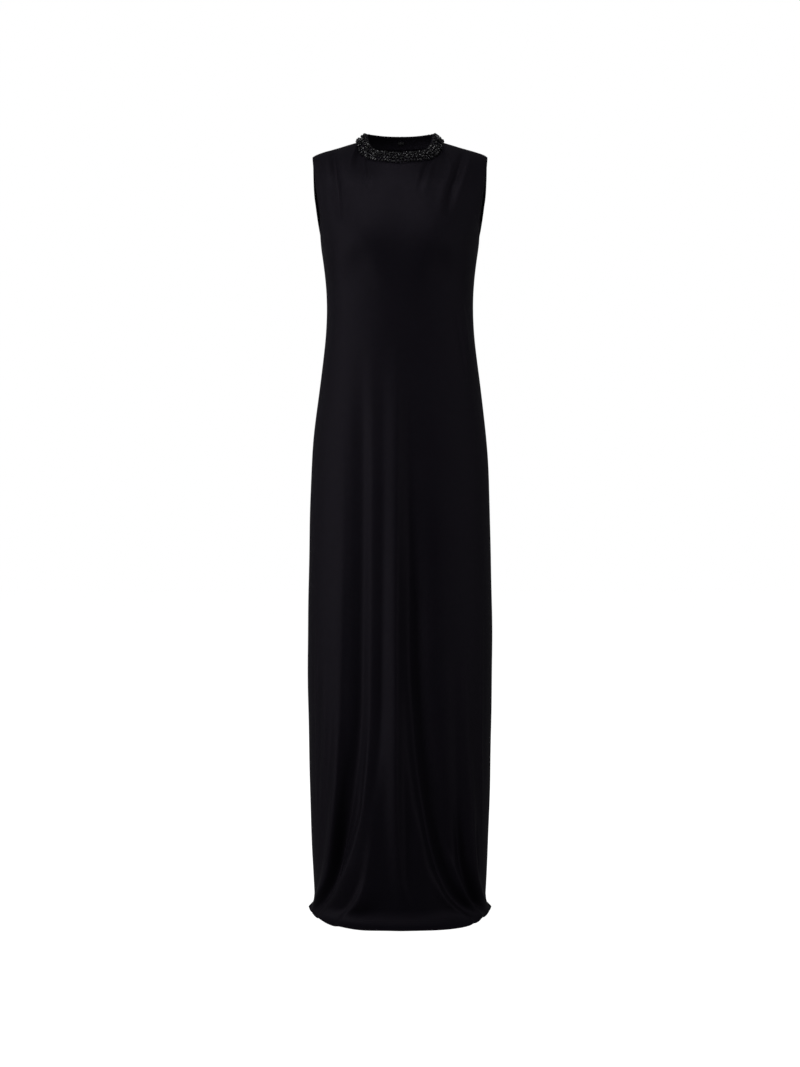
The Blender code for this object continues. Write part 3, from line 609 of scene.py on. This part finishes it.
def clothMesh(name, outer, inner, away, uv, faces):
    # a closed wall whose free edges are rounded; away is zero where the edge is sewn
    count = len(outer)
    pairs = np.concatenate([faces[:, [k, (k + 1) % 4]] for k in range(4)])
    known = set(map(tuple, pairs.tolist()))
    rim = sorted(pair for pair in known if pair[::-1] not in known)
    edgePoints = sorted({v for pair in rim for v in pair})
    middle = {v: 2 * count + k for k, v in enumerate(edgePoints)}
    half = np.linalg.norm(outer[edgePoints] - inner[edgePoints], axis=1)[:, None] / 2
    bulge = (outer[edgePoints] + inner[edgePoints]) / 2 + away[edgePoints] * half * panels["edgeBulge"]
    quads = faces.tolist() + (faces[:, ::-1] + count).tolist()
    for a, b in rim:
        quads.append((b, a, middle[a], middle[b]))
        quads.append((middle[b], middle[a], count + a, count + b))
    mesh = bpy.data.meshes.new(name)
    mesh.from_pydata(np.concatenate([outer, inner, bulge]).tolist(), [], quads)
    mesh.validate()
    layer = mesh.uv_layers.new(name="cloth")
    corners = np.empty(len(mesh.loops), int)
    mesh.loops.foreach_get("vertex_index", corners)
    allUv = np.concatenate([uv, uv, uv[edgePoints]])
    layer.data.foreach_set("uv", allUv[corners].astype(np.float32).ravel())
    mesh.shade_smooth()
    mesh.set_sharp_from_angle(angle=radians(panels["sharpFrom"]))
    return mesh


def addPiece(name, mesh, material, replaced=()):
    mesh.materials.append(material)
    piece = bpy.data.objects.new(name, mesh)
    bpy.context.scene.collection.objects.link(piece)
    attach(piece, "root")
    if replaced:
        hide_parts(*replaced)
    return piece


def makePanel(key, name, replaced, material):
    panel = panels[key]
    form = panelGrid(panel)
    grid, out = form["grid"], form["out"]
    rows, columns = grid.shape[:2]
    faces, index = gridFaces(rows, columns)
    # turned-in cloth makes the wall thicker along the hem and the armholes
    toSide = np.minimum(form["runAcross"], form["runAcross"][:, -1:] - form["runAcross"])
    toSide[: form["seamRows"]] = 1
    thicker = (form["runUp"] < panels["hemTurning"]) | (toSide < panels["armholeTurning"])
    wall = panels["wall"] + panels["turningExtra"] * thicker
    wall[0] = panels["wall"]
    inner = grid - out * wall[..., None]
    away = awayDirections(form)
    acrossMiddle = form["runAcross"] - form["runAcross"][:, columns // 2 : columns // 2 + 1]
    uv = np.stack([acrossMiddle, form["runUp"]], axis=-1).reshape(-1, 2)
    outer, inner, away = (a.reshape(-1, 3).copy() for a in (grid, inner, away))
    if key == "back":
        outer, inner, away, uv, faces = openSlit(outer, inner, away, uv, faces, index, grid)
    mesh = clothMesh(name, lowered(outer), lowered(inner), away, uv, faces)
    piece = addPiece(name, mesh, material, replaced)
    print(name, "done:", len(mesh.polygons), "faces")
    return piece, form


def openSlit(outer, inner, away, uv, faces, index, grid):
    rows, columns = index.shape
    middle = columns // 2
    line = grid[:, middle, 2]
    slitRows = int(np.sum(line > line[-1] - panels["slit"]))
    first = rows - slitRows
    column = index[first:, middle]
    opening = np.minimum(1, (np.arange(slitRows) + 1) / panels["slitEndRows"])
    wide = panels["slitGap"] / 2 * opening[:, None]
    shift = wide * (1, 0, 0)
    # the back's columns run from +x to -x
    twins = dict(zip(column.tolist(), range(len(outer), len(outer) + slitRows)))
    outer = np.concatenate([outer, outer[column] - shift])
    inner = np.concatenate([inner, inner[column] - shift])
    away = np.concatenate([away, np.tile((1.0, 0, 0), (slitRows, 1))])
    uv = np.concatenate([uv, uv[column]])
    outer[column] += shift
    inner[column] += shift
    away[column] = (-1, 0, 0)
    past = (faces.min(axis=1) % columns) >= middle
    parted = faces.copy()
    for v, twin in twins.items():
        parted[past[:, None] & (faces == v)] = twin
    return outer, inner, away, uv, parted


# materials
jersey = {
    "light": (0.0100, 0.0086, 0.0138),
    "dark": (0.0064, 0.0053, 0.0092),
    "roughness": (0.46, 0.58),
    "specular": 0.20,
    "specularTint": (0.90, 0.80, 1.0),
    "sheen": 0.03,
    "sheenRoughness": 0.40,
    "sheenTint": (0.75, 0.70, 0.85),
    "wales": 1250.0,  # knit columns in each metre
    "courses": 1050.0,
    "knitRelief": 0.00012,
    "knitStrength": 0.35,
    "crinkle": 0.0004,
    "crinkleStrength": 0.30,
    "crinkleScale": 42.0,
    "patchScale": 9.0,  # of the slow change in colour and gloss
}


def newMaterial(name):
    material = bpy.data.materials.new(name)
    material.use_nodes = True
    nodes, links = material.node_tree.nodes, material.node_tree.links
    return material, nodes, links, nodes["Principled BSDF"]


def mathNode(nodes, links, operation, a, b=None):
    node = nodes.new("ShaderNodeMath")
    node.operation = operation
    for socket, value in zip(node.inputs, (a, b)):
        if value is None:
            continue
        if isinstance(value, (int, float)):
            socket.default_value = value
        else:
            links.new(value, socket)
    return node.outputs[0]


def noiseNode(nodes, links, place, scale, detail=2.0):
    node = nodes.new("ShaderNodeTexNoise")
    node.inputs["Scale"].default_value = scale
    node.inputs["Detail"].default_value = detail
    links.new(place.outputs["Object"], node.inputs["Vector"])
    return node.outputs["Fac"]


def bumpNode(nodes, links, height, strength, distance):
    node = nodes.new("ShaderNodeBump")
    node.inputs["Strength"].default_value = strength
    node.inputs["Distance"].default_value = distance
    links.new(height, node.inputs["Height"])
    return node.outputs[0]


def varied(nodes, links, fac, surface, dark, light, roughness):  # colour and gloss that follow a noise
    tint = nodes.new("ShaderNodeMix")
    tint.data_type = "RGBA"
    tint.inputs["A"].default_value = (*dark, 1)
    tint.inputs["B"].default_value = (*light, 1)
    links.new(fac, tint.inputs["Factor"])
    links.new(tint.outputs["Result"], surface.inputs["Base Color"])
    rough = nodes.new("ShaderNodeMapRange")
    rough.inputs["To Min"].default_value, rough.inputs["To Max"].default_value = roughness
    links.new(fac, rough.inputs["Value"])
    links.new(rough.outputs[0], surface.inputs["Roughness"])


def jerseyMaterial():
    material, nodes, links, surface = newMaterial("blackJersey")
    place = nodes.new("ShaderNodeTexCoord")
    uv = nodes.new("ShaderNodeSeparateXYZ")
    links.new(place.outputs["UV"], uv.inputs[0])
    # knit: each column is a row of small vees
    across = mathNode(nodes, links, "MULTIPLY", uv.outputs[0], jersey["wales"])
    saw = mathNode(nodes, links, "PINGPONG", across, 0.5)
    along = mathNode(nodes, links, "MULTIPLY", uv.outputs[1], jersey["courses"])
    slanted = mathNode(nodes, links, "ADD", along, saw)
    course = mathNode(nodes, links, "SINE", mathNode(nodes, links, "MULTIPLY", slanted, 2 * pi))
    wale = mathNode(nodes, links, "SINE", mathNode(nodes, links, "MULTIPLY", across, pi))
    wale = mathNode(nodes, links, "ABSOLUTE", wale)
    knit = mathNode(nodes, links, "MULTIPLY", mathNode(nodes, links, "ADD", course, 1.4), wale)
    knitBump = bumpNode(nodes, links, knit, jersey["knitStrength"], jersey["knitRelief"])
    # faint crinkle of soft cloth
    crinkle = noiseNode(nodes, links, place, jersey["crinkleScale"], 3.0)
    bump = bumpNode(nodes, links, crinkle, jersey["crinkleStrength"], jersey["crinkle"])
    links.new(knitBump, bump.node.inputs["Normal"])
    links.new(bump, surface.inputs["Normal"])
    # colour and gloss vary a little from place to place
    patches = noiseNode(nodes, links, place, jersey["patchScale"], 5.0)
    varied(nodes, links, patches, surface, jersey["dark"], jersey["light"], jersey["roughness"])
    surface.inputs["Specular IOR Level"].default_value = jersey["specular"]
    surface.inputs["Specular Tint"].default_value = (*jersey["specularTint"], 1)
    surface.inputs["Sheen Weight"].default_value = jersey["sheen"]
    surface.inputs["Sheen Roughness"].default_value = jersey["sheenRoughness"]
    surface.inputs["Sheen Tint"].default_value = (*jersey["sheenTint"], 1)
    return material


blackJersey = jerseyMaterial()
frontShell, frontForm = makePanel("front", "frontShell", ["front_panel"], blackJersey)
backShell, backForm = makePanel("back", "backShell", ["back_panel"], blackJersey)


# neck band: a plain strip of cloth under the beads
band = {
    "wall": 0.0020,
    "bow": 0.0020,
    "columns": 240,
    "rows": 8,
    "closureGap": 0.0004,
    "lap": 0.0016,  # how far its lower edge covers the panels
}


def bandPoint(angle, share):
    seam, up, out = neckLine(angle)
    start = seam - up * band["lap"]
    bow = band["bow"] * (1 - (2 * share - 1) ** 2)
    return start + share * (neckCurve(angle, "rim") - start) + out * bow, up, out


def makeBand(material):
    end = pi - band["closureGap"] / 2 / neck["seam"][0]
    angles = np.linspace(-end, end, band["columns"] + 1)
    spots = [[bandPoint(angle, share) for angle in angles] for share in np.linspace(0, 1, band["rows"] + 1)]
    grid = np.array([[spot[0] for spot in row] for row in spots])
    out = np.array([[spot[2] for spot in row] for row in spots])
    faces, _ = gridFaces(*grid.shape[:2])
    away = np.zeros_like(grid)
    away[-1] = unit(grid[-1] - grid[-2])
    away[:, 0] = unit(grid[:, 0] - grid[:, 1])
    away[:, -1] = unit(grid[:, -1] - grid[:, -2])
    away[0] = 0
    inner = grid - out * band["wall"]
    across = np.array([runAlong(row) for row in grid])
    up = np.array([runAlong(line) for line in grid.transpose(1, 0, 2)]).T
    uv = np.stack([across, up], axis=-1).reshape(-1, 2)
    flat = [a.reshape(-1, 3) for a in (grid, inner, away)]
    mesh = clothMesh("bandShell", lowered(flat[0]), lowered(flat[1]), flat[2], uv, faces)
    return addPiece("bandShell", mesh, material, ["neck_band"])


bandShell = makeBand(blackJersey)
print("band done")


# sewing and beads: one of each kind is modelled, then copied into a joined mesh


def asPattern(thing):
    # takes a modelled piece's shape and removes the piece
    mesh = thing.data
    points = np.array([v.co for v in mesh.vertices])
    faces = [tuple(p.vertices) for p in mesh.polygons]
    bpy.data.objects.remove(thing)
    bpy.data.meshes.remove(mesh)
    return points, faces


def editMode(thing):
    makeActive(thing)
    bpy.ops.object.mode_set(mode="EDIT")
    bpy.ops.mesh.select_all(action="SELECT")


def joinedCopies(name, pattern, frames, smooth):
    # frames: for each copy its place and a 3x3 turn that also holds its size
    points, faces = pattern
    allPoints = np.concatenate([points @ turn.T + place for place, turn in frames])
    count = len(points)
    allFaces = [tuple(v + k * count for v in face) for k in range(len(frames)) for face in faces]
    mesh = bpy.data.meshes.new(name)
    mesh.from_pydata(allPoints.tolist(), [], allFaces)
    if smooth:
        mesh.shade_smooth()
    return mesh


stitch = {
    "length": 0.0026,
    "gap": 0.0010,
    "thickness": 0.00045,
    "end": 0.45,  # share of its thickness that its ends have
    "hemTwin": 0.0035,  # between the two rows of hem stitches
    "fromHemTurning": 0.002,  # the stitches lie this far inside the turned cloth's edge
    "fromArmholeTurning": 0.001,
    "sunk": 0.2,  # share of its thickness that lies in the cloth
}


def stitchPattern():
    # a short thread that lies along x, its ends drawn in
    bpy.ops.mesh.primitive_cylinder_add(
        vertices=6, radius=0.5, depth=1, end_fill_type="NGON", rotation=(0, pi / 2, 0)
    )
    thing = bpy.context.object
    bpy.ops.object.transform_apply(location=False, rotation=True, scale=False)
    editMode(thing)
    bpy.ops.mesh.subdivide(number_cuts=1)
    bpy.ops.mesh.select_all(action="DESELECT")
    bpy.ops.object.mode_set(mode="OBJECT")
    for polygon in thing.data.polygons:
        polygon.select = abs(polygon.normal.x) > 0.9
    bpy.ops.object.mode_set(mode="EDIT")
    bpy.ops.mesh.select_mode(type="FACE")
    bpy.ops.transform.resize(value=(1, stitch["end"], stitch["end"]))
    bpy.ops.object.mode_set(mode="OBJECT")
    return asPattern(thing)


def stitchLine(points, outs):
    # stitches one after another along a line on the cloth
    run = runAlong(points)
    pitch = stitch["length"] + stitch["gap"]
    count = max(1, int(run[-1] / pitch))
    frames = []
    for k in range(count):
        at = (k + 0.5) / count * run[-1]
        ends = [read(at + hand * pitch / 2, run, points) for hand in (-1, 1)]
        out = unit(read(at, run, outs))
        along = unit(ends[1] - ends[0])
        side = unit(np.cross(out, along))
        thick = stitch["thickness"]
        turn = np.stack([along * stitch["length"], side * thick, out * thick], axis=1)
        place = (ends[0] + ends[1]) / 2 + out * thick * (0.5 - stitch["sunk"])
        frames.append((lowered(place), turn))
    return frames


def lineAcross(form, distance):
    # a line on the panel at a distance from the hem's edge, measured up the cloth
    grid, out, run = form["grid"], form["out"], form["runUp"]
    columns = range(grid.shape[1])
    points = np.array([read(distance, run[:, c], grid[:, c]) for c in columns])
    outs = np.array([read(distance, run[:, c], out[:, c]) for c in columns])
    return points, outs


def lineUp(form, distance, last):
    # a line on the panel at a distance from the armhole's edge
    grid, out, run = form["grid"], form["out"], form["runAcross"]
    rows = range(form["seamRows"] + 1, len(grid) - 2)
    points, outs = [], []
    for r in rows:
        at = run[r, -1] - distance if last else distance
        points.append(read(at, run[r], grid[r]))
        outs.append(read(at, run[r], out[r]))
    return np.array(points), unit(np.array(outs))


thread = {
    "colour": (0.012, 0.011, 0.014),
    "roughness": 0.45,
    "specular": 0.35,
    "plyScale": 900.0,
    "plyRelief": 0.0002,
    "plyStrength": 0.4,
}


def threadMaterial():
    material, nodes, links, surface = newMaterial("blackThread")
    place = nodes.new("ShaderNodeTexCoord")
    ply = noiseNode(nodes, links, place, thread["plyScale"])
    bump = bumpNode(nodes, links, ply, thread["plyStrength"], thread["plyRelief"])
    links.new(bump, surface.inputs["Normal"])
    surface.inputs["Base Color"].default_value = (*thread["colour"], 1)
    surface.inputs["Roughness"].default_value = thread["roughness"]
    surface.inputs["Specular IOR Level"].default_value = thread["specular"]
    return material


def makeStitches():
    pattern = stitchPattern()
    frames = []
    for form in (frontForm, backForm):
        for twin in (0, 1):
            distance = panels["hemTurning"] - stitch["fromHemTurning"] - twin * stitch["hemTwin"]
            frames += stitchLine(*lineAcross(form, distance))
        for last in (False, True):
            distance = panels["armholeTurning"] - stitch["fromArmholeTurning"]
            frames += stitchLine(*lineUp(form, distance, last))
    mesh = joinedCopies("stitches", pattern, frames, smooth=True)
    addPiece("stitches", mesh, threadMaterial())
    print("stitches done:", len(frames))


makeStitches()

# beads
beads = {
    "seed": 11,
    "rows": 4,
    "size": 0.0062,
    "sizes": (0.80, 1.10),  # as shares of it
    "lift": 0.20,  # share of its size that a bead stands off the band
    "liftSlip": 0.06,
    "closeness": (1.04, 0.08),  # the lowest row's, and how much of it is lost up to the highest
    "rowStart": 0.42,  # how far up its row a bead lies
    "slipAlong": 0.22,  # as shares of the pitch and of the row's height
    "slipUp": 0.16,
    "cutShare": 0.72,  # the others are round
    "smallSize": 0.0026,
    "smallSizes": (0.75, 1.25),
    "smallCount": 520,
    "smallFrom": (0.06, 0.93),  # share of the band's height
    "smallLift": (0.0014, 0.0042),
}


def flattened(ball, height):  # a bead is a ball a little flattened along its hole
    editMode(ball)
    bpy.ops.transform.resize(value=(1, 1, height))
    bpy.ops.object.mode_set(mode="OBJECT")
    return asPattern(ball)


def cutPattern():
    bpy.ops.mesh.primitive_uv_sphere_add(segments=8, ring_count=5, radius=0.5)
    return flattened(bpy.context.object, 0.8)


def ballPattern():
    bpy.ops.mesh.primitive_ico_sphere_add(subdivisions=2, radius=0.5)
    return flattened(bpy.context.object, 0.85)


def smallPattern():
    bpy.ops.mesh.primitive_ico_sphere_add(subdivisions=1, radius=0.5)
    return flattened(bpy.context.object, 0.8)


def randomTurn(rng):
    q = unit(rng.normal(size=4))
    w, x, y, z = q
    return np.array([
        [1 - 2 * (y * y + z * z), 2 * (x * y - z * w), 2 * (x * z + y * w)],
        [2 * (x * y + z * w), 1 - 2 * (x * x + z * z), 2 * (y * z - x * w)],
        [2 * (x * z - y * w), 2 * (y * z + x * w), 1 - 2 * (x * x + y * y)],
    ])


hardSurfaces = {  # colour, metal, roughness from least to most, coat
    "jetGlass": ((0.012, 0.012, 0.014), 0.0, (0.08, 0.22), 0.6),
    "greyGlass": ((0.11, 0.11, 0.12), 1.0, (0.16, 0.34), 0.3),
    "hookSteel": ((0.30, 0.30, 0.31), 1.0, (0.25, 0.42), 0.0),
}
hardVaried = {"scale": 160.0, "dark": 0.5, "light": 1.5, "coatRoughness": 0.08}


def hardMaterial(name):
    colour, metallic, roughness, coat = hardSurfaces[name]
    material, nodes, links, surface = newMaterial(name)
    noise = noiseNode(nodes, links, nodes.new("ShaderNodeTexCoord"), hardVaried["scale"])
    dark, light = ([hardVaried[end] * c for c in colour] for end in ("dark", "light"))
    varied(nodes, links, noise, surface, dark, light, roughness)
    surface.inputs["Metallic"].default_value = metallic
    surface.inputs["Coat Weight"].default_value = coat
    surface.inputs["Coat Roughness"].default_value = hardVaried["coatRoughness"]
    return material


def slip(rng, most):
    return rng.uniform(-most, most)


def makeBeads():
    rng = np.random.default_rng(beads["seed"])
    kinds = {"cut": [], "ball": [], "small": []}
    perimeter = runAlong(np.array([bandPoint(a, 0.5)[0] for a in np.linspace(-pi, pi, 200)]))[-1]
    rows = beads["rows"]
    for r in range(rows):
        closeness, lost = beads["closeness"]
        count = int(perimeter / beads["size"] * (closeness - lost * r / rows))
        for k in range(count):
            size = beads["size"] * rng.uniform(*beads["sizes"])
            angle = -pi + 2 * pi * (k + 0.5 * (r % 2) + slip(rng, beads["slipAlong"])) / count
            share = (r + beads["rowStart"] + slip(rng, beads["slipUp"])) / rows
            point, _, out = bandPoint(angle, share)
            place = point + out * size * (beads["lift"] + slip(rng, beads["liftSlip"]))
            kind = "cut" if rng.random() < beads["cutShare"] else "ball"
            kinds[kind].append((lowered(place), randomTurn(rng) * size))
    for k in range(beads["smallCount"]):
        size = beads["smallSize"] * rng.uniform(*beads["smallSizes"])
        point, _, out = bandPoint(rng.uniform(-pi, pi), rng.uniform(*beads["smallFrom"]))
        place = point + out * rng.uniform(*beads["smallLift"])
        kinds["small"].append((lowered(place), randomTurn(rng) * size))
    jet, grey = hardMaterial("jetGlass"), hardMaterial("greyGlass")
    for name, pattern, key, material, smooth in (
        ("cutBeads", cutPattern(), "cut", jet, False),
        ("ballBeads", ballPattern(), "ball", jet, True),
        ("smallBeads", smallPattern(), "small", grey, False),
    ):
        addPiece(name, joinedCopies(name, pattern, kinds[key], smooth), material)
    print("beads done:", {key: len(value) for key, value in kinds.items()})


makeBeads()


# hook and bar keep their solids
def finishHook():
    material = hardMaterial("hookSteel")
    for name in ("hook", "bar"):
        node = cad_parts[name]
        node.data.materials.clear()
        node.data.materials.append(material)
    print("hook and bar finished")


finishHook()


# studio
studio = {
    "floorSize": 30.0,
    "floorColour": (0.8, 0.8, 0.8),
    "floorRoughness": 0.9,
    "floorSpecular": 0.1,
    "floorGlow": 0.95,
    "ambient": 0.065,
    "lamps": {  # place, width and height, watts
        "left": ((-2.08, -1.20, -0.20), (0.5, 2.8), 11),
        "leftSide": ((-2.36, -0.42, -0.20), (0.5, 2.8), 3),
        "right": ((2.08, -1.20, -0.20), (0.5, 2.8), 6),
        "above": ((-0.41, -1.55, 1.70), (1.2, 0.8), 1.4),
        "backLeft": ((-2.0, 1.9, 0.2), (1.0, 1.8), 12),
        "backRight": ((2.0, 1.9, 0.2), (1.0, 1.8), 9),
    },
    "uprightFrom": 2.0,  # lamps taller than this stand upright
    "aim": (0, 0, -0.10),  # of the others
    "aboveSpread": 62,  # degrees: it leaves the hem darker than the chest
}


def makeFloor():
    bpy.ops.mesh.primitive_plane_add(size=studio["floorSize"], location=(0, 0, -dress["shoulderLevel"]))
    floor = bpy.context.object
    floor.name = "floor"
    material, _, _, surface = newMaterial("paleFloor")
    surface.inputs["Base Color"].default_value = (*studio["floorColour"], 1)
    surface.inputs["Roughness"].default_value = studio["floorRoughness"]
    surface.inputs["Specular IOR Level"].default_value = studio["floorSpecular"]
    surface.inputs["Emission Color"].default_value = (1, 1, 1, 1)
    surface.inputs["Emission Strength"].default_value = studio["floorGlow"]
    floor.data.materials.append(material)
    floor.visible_diffuse = False
    floor.visible_glossy = False


def makeSurroundings():  # white where the camera sees it, dim as a light
    world = bpy.data.worlds.new("studio")
    bpy.context.scene.world = world
    world.use_nodes = True
    nodes, links = world.node_tree.nodes, world.node_tree.links
    seen = nodes["Background"]
    seen.inputs["Color"].default_value = (1, 1, 1, 1)
    seen.inputs["Strength"].default_value = 1.0
    soft = nodes.new("ShaderNodeBackground")
    soft.inputs["Color"].default_value = (1, 1, 1, 1)
    soft.inputs["Strength"].default_value = studio["ambient"]
    path = nodes.new("ShaderNodeLightPath")
    mix = nodes.new("ShaderNodeMixShader")
    links.new(path.outputs["Is Camera Ray"], mix.inputs["Fac"])
    links.new(soft.outputs[0], mix.inputs[1])
    links.new(seen.outputs[0], mix.inputs[2])
    links.new(mix.outputs[0], nodes["World Output"].inputs["Surface"])


def makeLamps():
    for name, (place, size, power) in studio["lamps"].items():
        data = bpy.data.lights.new(name, "AREA")
        data.shape = "RECTANGLE"
        data.size, data.size_y = size
        data.energy = power
        if name == "above":
            data.spread = radians(studio["aboveSpread"])
        lamp = bpy.data.objects.new(name, data)
        bpy.context.scene.collection.objects.link(lamp)
        lamp.location = place
        upright = size[1] > studio["uprightFrom"]
        towards = Vector((0, 0, place[2]) if upright else studio["aim"]) - lamp.location
        lamp.rotation_euler = towards.to_track_quat("-Z", "Y").to_euler()
        lamp.visible_camera = False
        lamp.visible_glossy = not name.startswith("back")


makeFloor()
makeSurroundings()
makeLamps()
bpy.context.scene.view_settings.view_transform = "Standard"
print("studio set")
